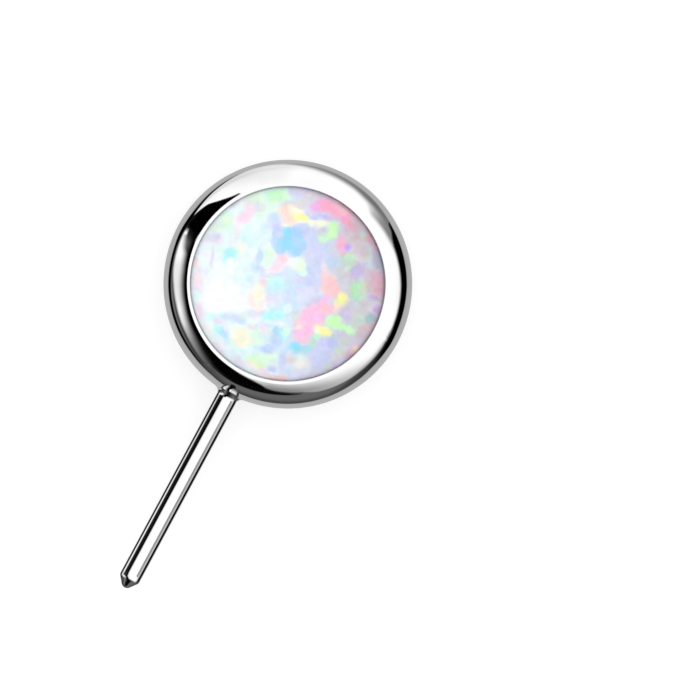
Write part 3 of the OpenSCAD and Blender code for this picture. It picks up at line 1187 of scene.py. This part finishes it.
# The faint mosaic of the finest cells: cells per metre, spots per metre and reach of the noise that
# bends their borders, and how strongly it shows
MOSAIC_FINENESS = 14000.0
MOSAIC_BENDS = 2600.0
MOSAIC_BEND_REACH = 0.25 * MM
MOSAIC_SHARE = 0.12


def opal_material(finish):
    """White opal: the painted flakes, with painted light and shade across the stone, under a faint
    mosaic of small cells.
    """
    material = bpy.data.materials.new("white_opal")
    shader = Shader(material)
    place = shader.node("ShaderNodeTexCoord").outputs["Object"]
    painted = shader.node("ShaderNodeVertexColor", layer_name="flakes").outputs["Color"]
    bend = shader.noise(place, MOSAIC_BENDS, colour=True)
    bend = shader.vector("SUBTRACT", bend, (0.5, 0.5, 0.5))
    bend = shader.vector("MULTIPLY", bend, (MOSAIC_BEND_REACH, MOSAIC_BEND_REACH, 0))
    mosaic = shader.node(
        "ShaderNodeTexVoronoi",
        {"Vector": shader.vector("ADD", place, bend), "Scale": MOSAIC_FINENESS,
         "Smoothness": 0.4},
        feature="SMOOTH_F1", voronoi_dimensions="2D").outputs["Color"]
    colour = shader.mix(MOSAIC_SHARE, painted, mosaic, blend="SOFT_LIGHT")
    surface = shader.node("ShaderNodeBsdfPrincipled", {
        "Base Color": colour,
        "Roughness": 0.1,
        "IOR": 1.45,
        "Subsurface Weight": 0.15,
        "Subsurface Radius": (1.0, 1.0, 1.0),
        "Subsurface Scale": finish.glow,
    })
    shader.output("ShaderNodeOutputMaterial", surface.outputs[0])
    return material


# The operators

def require_faces(operator, piece):
    """Stops the script if a piece has no faces."""
    if not piece.data.polygons:
        raise RuntimeError(f"{operator.bl_label} made no faces")


class PIERCING_OT_setting(bpy.types.Operator):
    """Build the polished metal setting: cup, lip, weld and pin as one solid"""
    bl_idname = "piercing.setting"
    bl_label = "Build Setting"

    def execute(self, context):
        scene = context.scene
        draft = MeshDraft()
        wall, border = build_cup(
            draft, scene.piercing_bezel, scene.piercing_stone, scene.piercing_pin)
        build_pin(draft, scene.piercing_pin, wall, border)
        materials = {
            TURNED: metal_material("turned_titanium", scene.piercing_metal, TURNED),
            DRAWN: metal_material("drawn_titanium", scene.piercing_metal, DRAWN),
            # The seam's metal, darkened as painted shade
            SEAM: painted_seam_shade_material(scene.piercing_bezel.painted_seam_shade),
        }
        piece = draft.finish("polished_setting", materials.values())
        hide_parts("setting")
        require_faces(self, piece)
        return {"FINISHED"}


class PIERCING_OT_opal(bpy.types.Operator):
    """Build the domed opal in its seat"""
    bl_idname = "piercing.opal"
    bl_label = "Build Opal"

    def execute(self, context):
        scene = context.scene
        draft = MeshDraft()
        build_stone(draft, scene.piercing_stone)
        piece = draft.finish("opal_cabochon", (opal_material(scene.piercing_opal),))
        paint_flakes(piece.data, scene.piercing_opal)
        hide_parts("opal")
        require_faces(self, piece)
        return {"FINISHED"}


# The stage

# Direction of the picture's right edge, turned from the pin's line so that the pin points down and
# to the left as in the photo
PICTURE_TURN = 118.3
# Middle of the picture, from the middle of the bezel, to the right and up
PICTURE_MIDDLE = (1.474 * MM, -1.561 * MM)
# Spread of the light straight above, in degrees, and the brightness of the white that the metal
# mirrors and of the far backdrop
TOP_LIGHT_SPREAD = 50
MIRRORED_WHITE = 1.25
BACKDROP_WHITE = 0.96
# The tiny lights beside the ring: their direction in the picture, in degrees, their distance from
# the bezel's axis, their width, and for each its lower and upper edge above the floor and its
# brightness
RING_LIGHT_DIRECTION = 330.55
RING_LIGHT_DISTANCE = 5.0 * MM
RING_LIGHT_WIDTH = 0.15 * MM
RING_LIGHTS = (
    (2.85 * MM, 3.03 * MM, 0.25),
    (3.03 * MM, 4.85 * MM, 0.9),
)


def picture_axes():
    """Directions of the picture's right and upper edge on the floor."""
    turn = math.radians(PICTURE_TURN)
    right = Vector((math.cos(turn), math.sin(turn), 0))
    up = Vector((-math.sin(turn), math.cos(turn), 0))
    return right, up


def make_floor(stage):
    """Plain pale floor, level with the bottom of the part."""
    reach = 1.0
    mesh = bpy.data.meshes.new("studio_floor")
    corners = [(-reach, -reach, 0), (reach, -reach, 0), (reach, reach, 0), (-reach, reach, 0)]
    mesh.from_pydata(corners, [], [(0, 1, 2, 3)])
    material = bpy.data.materials.new("pale_floor")
    shader = Shader(material)
    surface = shader.node("ShaderNodeBsdfPrincipled", {
        "Base Color": (*stage.floor_colour, 1.0),
        "Roughness": 0.9,
        "Specular IOR Level": 0.0,
        "Emission Color": (1.0, 1.0, 1.0, 1.0),
        "Emission Strength": stage.floor_glow,
    })
    shader.output("ShaderNodeOutputMaterial", surface.outputs[0])
    mesh.materials.append(material)
    floor = placed("studio_floor", mesh)
    floor.visible_glossy = False


def make_camera(stage):
    """Camera straight above the stone, with the photo's turn and frame."""
    right, up = picture_axes()
    data = bpy.data.cameras.new("camera")
    data.lens = stage.lens
    data.sensor_width = 36
    distance = stage.view_width * stage.lens / data.sensor_width
    data.clip_start = distance * 0.1
    data.clip_end = 10
    camera = placed("camera", data)
    aim = right * PICTURE_MIDDLE[0] + up * PICTURE_MIDDLE[1]
    turn = Matrix((right, up, Vector((0, 0, 1)))).transposed()
    camera.matrix_world = Matrix.Translation(
        aim + Vector((0, 0, PIN_HEIGHT + distance))) @ turn.to_4x4()
    bpy.context.scene.camera = camera


def even(value):
    """An edge or cover that has the same value in all directions."""
    return ((0, value), (360, value))


# Directions of the two sides of the grey strip beside the pin, and how far each side is soft
STRIP_SIDES = (329.75, 331.35)
SIDE_SOFTNESS = 0.1
# What the polished metal mirrors: white all round, with these white, grey and black cards and flags
# laid over it in this order. An edge is a list of (direction, elevation), and a cover is a list of
# (direction, share). A cover's curve is exact only to a degree or two, so a strip that has to be
# more exact has the directions of its two sides instead. Directions are anticlockwise in the
# picture from its right side, and all angles are in degrees
CARDS = (
    {
        "name": "pale card at the top", "brightness": 0.99, "softness": (3, 45),
        "lower": even(-90),
        "upper": ((0, -89), (72, -43), (80, -89), (92, 38), (104, 44), (115, 7), (125, -19),
                  (140, -5), (150, 57), (360, -87)),
        "cover": ((0, 1), (70, 0), (90, 0.4), (110, 1), (130, 1), (142, 0.8), (150, 1), (360, 0)),
    },
    {
        "name": "grey card at the right", "brightness": 0.24, "softness": (3, 14),
        "lower": even(-90),
        "upper": ((0, -19), (22, 11), (28, 15), (34, 20), (40, 24), (45, 7), (360, -89)),
        "cover": ((0, 0), (18, 0.65), (26, 1), (34, 0.9), (39, 0.7), (44, 0.35), (47, 0),
                  (360, 0.75)),
    },
    {
        "name": "grey belt at the upper right", "brightness": 0.2, "softness": (3, 20),
        "lower": even(-90),
        "upper": ((0, -43), (40, -14), (48, -11), (56, -20), (64, -24), (72, -30), (80, -38),
                  (88, -49), (96, -51), (360, -15)),
        "cover": ((0, 1), (36, 1), (43, 1), (88, 0.85), (100, 0.15), (360, 1)),
    },
    {
        "name": "light grey card at the bottom", "brightness": 0.3, "softness": (3, 33),
        "lower": even(-90),
        "upper": ((0, -9), (240, 35), (260, 62), (285, 54), (305, 30), (320, -3), (335, -16),
                  (360, -7)),
        "cover": ((0, 0.95), (20, 0), (240, 0), (250, 1), (270, 1), (285, 0.87), (305, 0.6),
                  (320, 0.55), (335, 0.5), (360, 0.45)),
    },
    {
        "name": "grey flag at the bottom", "brightness": 0.15, "softness": (3, 3),
        "lower": even(-90),
        "upper": ((0, -89), (170, -68), (190, 66), (250, 50), (262, 26), (277, 20), (285, 5),
                  (292, 1), (300, -2), (312, -7), (326, -9), (335, 3), (345, -21), (360, -60)),
        "cover": ((0, 0.5), (170, 0), (180, 1), (326, 1), (335, 0.4), (360, 0)),
    },
    {
        "name": "shade under the grey flag", "brightness": 0, "softness": (3, 17),
        "lower": even(-90),
        "upper": ((0, 89), (240, -30), (290, -31), (310, -1), (330, -2), (360, -32)),
        "cover": ((0, 0), (210, 0), (220, 0.6), (290, 0.5), (305, 0.65), (320, 0.8), (330, 1),
                  (345, 1), (360, 0)),
    },
    {
        "name": "black flag", "brightness": 0, "softness": (2.5, 6),
        "lower": ((0, 90), (116, 90), (118, 48), (122, 45), (125, 39), (130, 24), (135, 0),
                  (140, -13), (144, -22), (147, -38), (150, -56), (204, -89), (212, -89),
                  (218, -89), (225, 4), (232, 2), (240, 0), (255, 5), (265, 7), (272, 7),
                  (278, 6), (280, 90), (360, 90)),
        "upper": ((0, 55), (118, 55), (125, 62), (145, 63), (150, 58.5), (152.3, 55.5),
                  (154.5, 55.5), (157, 60), (161, 68), (170, 77), (180, 80), (205, 74), (220, 62),
                  (235, 60), (245, 53), (251, 47), (255, 42), (258, 30), (263, 26), (270, 21),
                  (278, 15), (360, 14)),
        "cover": ((0, 1), (262, 1), (270, 1), (275, 0.7), (280, 0), (360, 0)),
    },
    {
        "name": "soft edge under the black flag", "brightness": 0.06, "softness": (3, 17),
        "lower": even(-90),
        "upper": ((0, 89), (212, 42), (218, 15), (224, 8), (230, 7), (236, 2), (360, 4)),
        "cover": ((0, 0), (210, 0), (216, 0.25), (224, 0.9), (230, 0.65), (240, 0.05), (360, 0)),
    },
    {
        "name": "grey strip under the window", "brightness": 0.22, "softness": (3, 4),
        "lower": ((0, -33), (360, -20)),
        "upper": ((0, -24), (360, -10)),
        "cover": ((0, 0), (176, 0.15), (186, 0.95), (205, 0.6), (222, 0.05), (240, 0), (360, 0)),
    },
    {
        "name": "glow beside the window", "brightness": 0.23, "softness": (10, 23),
        "lower": ((0, -35), (360, -13)),
        "upper": ((0, 26), (360, 29)),
        "cover": ((0, 0), (150, 0), (154, 0.1), (158, 1), (215, 0.1), (228, 0), (360, 0.05)),
    },
    {
        "name": "soft window", "brightness": 1.22, "softness": (8, 19),
        "lower": ((0, 10), (154, -18), (158, -16), (166, -15), (172, -14), (180, -6), (190, -1),
                  (205, -1), (215, -6), (360, -89)),
        "upper": ((0, -12), (150, -12), (155, -2), (160, 11), (163, 26), (166, 29), (172, 32),
                  (180, 31), (190, 30), (200, 26), (210, 25), (220, 13), (360, -89)),
        "cover": ((0, 0.25), (149, 0), (151.6, 0.05), (152.8, 0.7), (155, 0.95), (158, 1),
                  (165, 1), (170, 0.82), (180, 0.8), (187, 0.83), (193, 0.95), (200, 0.75),
                  (205, 0.45), (210, 0.25), (215, 0.18), (222, 0.08), (228, 0), (360, 0)),
    },
    {
        "name": "narrow grey strip beside the pin", "brightness": 0.68, "softness": (5, 3),
        "lower": even(-6),
        "upper": even(14),
        "sides": STRIP_SIDES,
    },
    {
        "name": "darker edge of that strip", "brightness": 0.36, "softness": (3, 3),
        "lower": even(10),
        "upper": even(35),
        "sides": STRIP_SIDES,
    },
    {
        "name": "narrow white slit beside the pin", "brightness": 1.25, "softness": (3, 3),
        "lower": even(-16),
        "upper": even(1),
        "cover": ((0, 0), (151.7, 0), (152.2, 1), (153.3, 1), (153.8, 0), (360, 0)),
    },
    {
        "name": "black belt", "brightness": 0, "softness": (1, 9),
        "lower": even(-90),
        "upper": ((0, -2), (12, 2), (20, 3), (24, -5), (27, -20), (31, -28), (35, -90),
                  (300, -90), (308, -31), (318, -22), (326, -20), (340, -3), (360, -2)),
        "cover": ((0, 1), (35, 1), (40, 0.45), (300, 1), (310, 0.1), (325, 1), (360, 1)),
    },
    {
        "name": "thin black line", "brightness": 0, "softness": (1, 2),
        "lower": even(-90),
        "upper": ((0, -90), (100, -90), (112, -61), (118, -53), (124, -43), (130, -36),
                  (138, -26), (145, -20), (160, -28), (180, -28), (200, -29), (215, -32),
                  (230, -40), (245, -48), (255, -90), (360, -90)),
        "cover": even(1),
    },
    {
        "name": "grey floor", "brightness": 0.47, "softness": (1, 5.5),
        "lower": even(-90),
        "upper": ((0, -51), (20, -50), (30, -49), (45, -62), (75, -67), (100, -63), (118, -62),
                  (130, -55), (140, -47), (147, -50), (151.5, -55), (155.5, -55), (162, -50),
                  (180, -53), (200, -50), (215, -43), (230, -45), (240, -58),
                  (270, -61), (290, -58), (315, -45), (324, -48), (329, -53), (332, -53),
                  (338, -48), (345, -48), (360, -52)),
        "cover": even(1),
    },
)


def card_curve(shader, turn, points, low, high):
    """Value at a direction, given as a share of a full turn, from a list of points."""
    made = shader.node("ShaderNodeFloatCurve", {"Value": turn})
    curve = made.mapping.curves[0]
    for index, (direction, value) in enumerate(points):
        spot = (direction / 360, (value - low) / (high - low))
        # A new curve has two points already
        if index < 2:
            curve.points[index].location = spot
        else:
            curve.points.new(*spot)
    for point in curve.points:
        point.handle_type = "VECTOR"
    made.mapping.update()
    return shader.spread(made.outputs[0], 0.0, 1.0, low, high, smooth=False)


def strip_cover(shader, turn, sides):
    """Cover of a narrow strip between two directions, given in degrees."""
    start, end = sides
    offset = shader.math("SUBTRACT", turn, (start + end) / 2 / 360)
    offset = shader.math("MULTIPLY", shader.math("ABSOLUTE", offset), 360)
    half = (end - start) / 2
    return shader.spread(offset, half + SIDE_SOFTNESS, half - SIDE_SOFTNESS)


def card_share(shader, turn, elevation, card):
    """How far a card covers each direction, from 0 to 1."""
    low_soft, high_soft = card["softness"]
    rise = shader.math("SUBTRACT", elevation, card_curve(shader, turn, card["lower"], -90, 90))
    above = shader.spread(rise, -low_soft, low_soft)
    rise = shader.math("SUBTRACT", elevation, card_curve(shader, turn, card["upper"], -90, 90))
    below = shader.spread(rise, high_soft, -high_soft)
    if "sides" in card:
        cover = strip_cover(shader, turn, card["sides"])
    else:
        cover = card_curve(shader, turn, card["cover"], 0, 1)
    return shader.math("MULTIPLY", shader.math("MULTIPLY", above, below), cover)


def make_world(stage):
    """Soft, even studio light, with cards and flags that only mirror reflections see."""
    world = bpy.data.worlds.new("studio")
    bpy.context.scene.world = world
    shader = Shader(world)
    direction = shader.node("ShaderNodeTexCoord").outputs["Generated"]
    axes = shader.node("ShaderNodeSeparateXYZ", {"Vector": direction})
    turn = shader.math("ARCTAN2", axes.outputs[1], axes.outputs[0])
    turn = shader.math("SUBTRACT", turn, math.radians(PICTURE_TURN))
    turn = shader.math("WRAP", shader.math("DIVIDE", turn, 2 * math.pi), 1.0, 0.0)
    elevation = shader.math(
        "MULTIPLY", shader.math("ARCSINE", axes.outputs[2]), 180 / math.pi)
    level = (MIRRORED_WHITE,) * 3
    for card in CARDS:
        share = card_share(shader, turn, elevation, card)
        level = shader.mix(share, level, (card["brightness"],) * 3)
    mirrored = shader.node("ShaderNodeBackground", {"Color": level, "Strength": 1.0})
    plain = shader.node("ShaderNodeBackground", {
        "Color": (1.0, 1.0, 1.0, 1.0), "Strength": stage.fill_light})
    backdrop = shader.node("ShaderNodeBackground", {
        "Color": (BACKDROP_WHITE, BACKDROP_WHITE, BACKDROP_WHITE, 1.0), "Strength": 1.0})
    path = shader.node("ShaderNodeLightPath")
    seen = shader.node("ShaderNodeMixShader", {
        0: path.outputs["Is Camera Ray"], 1: plain.outputs[0], 2: backdrop.outputs[0]})
    both = shader.node("ShaderNodeMixShader", {
        0: path.outputs["Is Glossy Ray"], 1: seen.outputs[0], 2: mirrored.outputs[0]})
    shader.output("ShaderNodeOutputWorld", both.outputs[0])


def make_light(stage):
    """One broad light straight above, so that shadows stay short and soft."""
    data = bpy.data.lights.new("top_light", "SUN")
    data.energy = stage.top_light
    data.angle = math.radians(TOP_LIGHT_SPREAD)
    light = placed("top_light", data)
    light.visible_glossy = False


def make_ring_lights():
    """Tiny lights close to the ring, which only mirror reflections see.

    They stand where the ring would mirror the grey strip that is meant for the pin, and brighten
    the strip there until it is as white as what lies beside it.
    """
    right, up = picture_axes()
    turn = math.radians(RING_LIGHT_DIRECTION)
    outward = right * math.cos(turn) + up * math.sin(turn)
    top = Vector((0, 0, 1))
    facing = Matrix((top.cross(outward), top, outward)).transposed().to_4x4()
    for low, high, brightness in RING_LIGHTS:
        data = bpy.data.lights.new("ring_light", "AREA")
        data.shape = "RECTANGLE"
        data.size = RING_LIGHT_WIDTH
        data.size_y = high - low
        # A flat light of this power has that brightness as seen from in front
        data.energy = brightness * math.pi * data.size * data.size_y
        light = placed("ring_light", data)
        light.matrix_world = Matrix.Translation(
            outward * RING_LIGHT_DISTANCE + top * (low + high) / 2) @ facing
        light.visible_camera = False
        light.visible_diffuse = False
        light.visible_transmission = False
        light.visible_volume_scatter = False


class PIERCING_OT_stage(bpy.types.Operator):
    """Build the floor, the light and the camera"""
    bl_idname = "piercing.stage"
    bl_label = "Build Stage"

    def execute(self, context):
        stage = context.scene.piercing_stage
        make_floor(stage)
        make_light(stage)
        make_ring_lights()
        make_world(stage)
        make_camera(stage)
        context.scene.view_settings.view_transform = "Standard"
        if context.scene.camera is None:
            raise RuntimeError("the stage has no camera")
        return {"FINISHED"}


class PIERCING_PT_panel(bpy.types.Panel):
    """Lists the pieces to build and the values that shape them"""
    bl_idname = "PIERCING_PT_panel"
    bl_label = "Piercing End"
    bl_space_type = "VIEW_3D"
    bl_region_type = "UI"
    bl_category = "Piercing End"

    def draw(self, context):
        for operator in (PIERCING_OT_setting, PIERCING_OT_opal, PIERCING_OT_stage):
            self.layout.operator(operator.bl_idname)
        for name, group in GROUPS.items():
            box = self.layout.box()
            box.label(text=group.__doc__)
            for key in group.__annotations__:
                box.prop(getattr(context.scene, name), key)


CLASSES = (
    *GROUPS.values(), PIERCING_OT_setting, PIERCING_OT_opal, PIERCING_OT_stage, PIERCING_PT_panel)


def register():
    for entry in CLASSES:
        bpy.utils.register_class(entry)
    for name, group in GROUPS.items():
        setattr(bpy.types.Scene, name, PointerProperty(type=group))


def unregister():
    for name in GROUPS:
        delattr(bpy.types.Scene, name)
    for entry in reversed(CLASSES):
        bpy.utils.unregister_class(entry)


def main():
    register()
    bpy.ops.piercing.stage()
    bpy.ops.piercing.setting()
    bpy.ops.piercing.opal()


if __name__ == "__main__":
    main()
